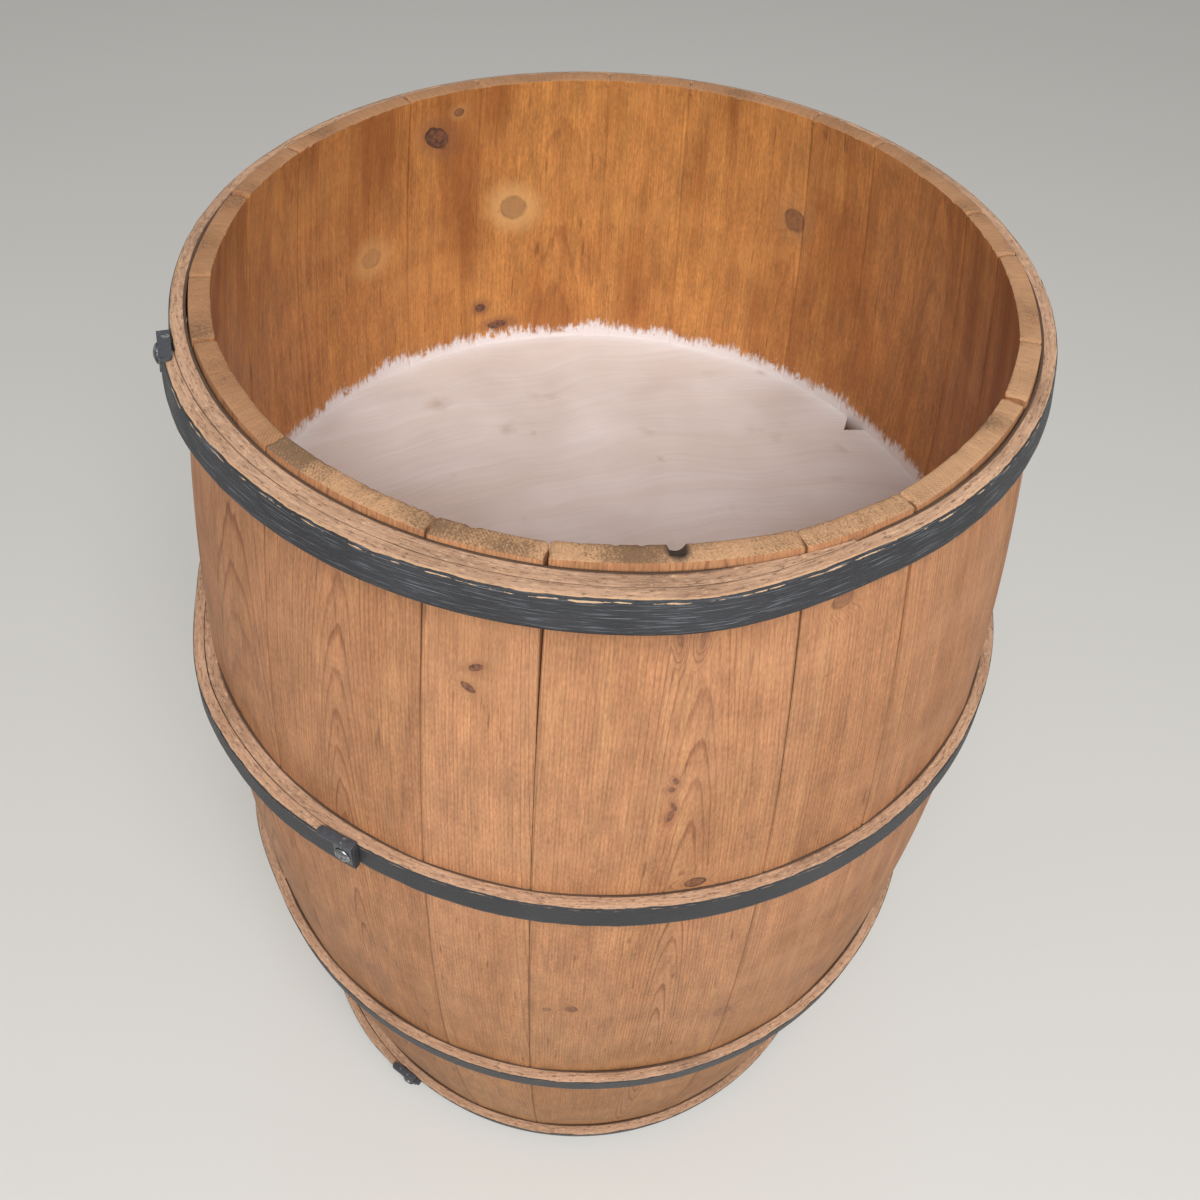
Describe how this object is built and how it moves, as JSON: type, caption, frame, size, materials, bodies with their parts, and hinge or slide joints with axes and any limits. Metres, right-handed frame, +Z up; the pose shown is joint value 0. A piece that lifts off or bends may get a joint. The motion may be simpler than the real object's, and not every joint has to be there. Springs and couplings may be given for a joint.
{
  "type": "barrel planter",
  "caption": "Bilged wooden barrel planter: bowed staves held by lapped, black-edged wooden hoops with steel clips, open top and a raised painted floor.",
  "frame": {"origin": "on the barrel's axis, at the level of the stave ends that it stands on", "axes": "+Z up along the barrel's axis, -Y towards the front, which is the side with the widest stave"},
  "size_m": [0.5381, 0.5308, 0.724],
  "materials": {
    "stave_pine": "worn amber varnish",
    "hoop_wood": "bent strip, outer face painted black",
    "clip_steel": "worn black paint",
    "nail_steel": "worn black paint",
    "painted_floor": "brushed off-white paint",
    "cleat_pine": "raw sawn",
    "head_pine": "raw planed"
  },
  "bodies": {
    "root": {"stave_01": "stave_pine", "stave_02": "stave_pine", "stave_03": "stave_pine", "stave_04": "stave_pine", "stave_05": "stave_pine", "stave_06": "stave_pine", "stave_07": "stave_pine", "stave_08": "stave_pine", "stave_09": "stave_pine", "stave_10": "stave_pine", "stave_11": "stave_pine", "stave_12": "stave_pine", "stave_13": "stave_pine", "stave_14": "stave_pine", "stave_15": "stave_pine", "stave_16": "stave_pine", "stave_17": "stave_pine", "stave_18": "stave_pine", "stave_19": "stave_pine", "top_hoop": "hoop_wood", "upper_bilge_hoop": "hoop_wood", "lower_bilge_hoop": "hoop_wood", "bottom_hoop": "hoop_wood", "top_hoop_clip": "clip_steel", "upper_bilge_hoop_clip": "clip_steel", "lower_bilge_hoop_clip": "clip_steel", "bottom_hoop_clip": "clip_steel", "clip_nails": "nail_steel", "raised_floor": "painted_floor", "floor_cleat_1": "cleat_pine", "floor_cleat_2": "cleat_pine", "floor_cleat_3": "cleat_pine", "floor_cleat_4": "cleat_pine", "cleat_nails": "nail_steel", "head_board_1": "head_pine", "head_board_2": "head_pine", "head_board_3": "head_pine", "head_board_4": "head_pine"}
  },
  "joints": []
}
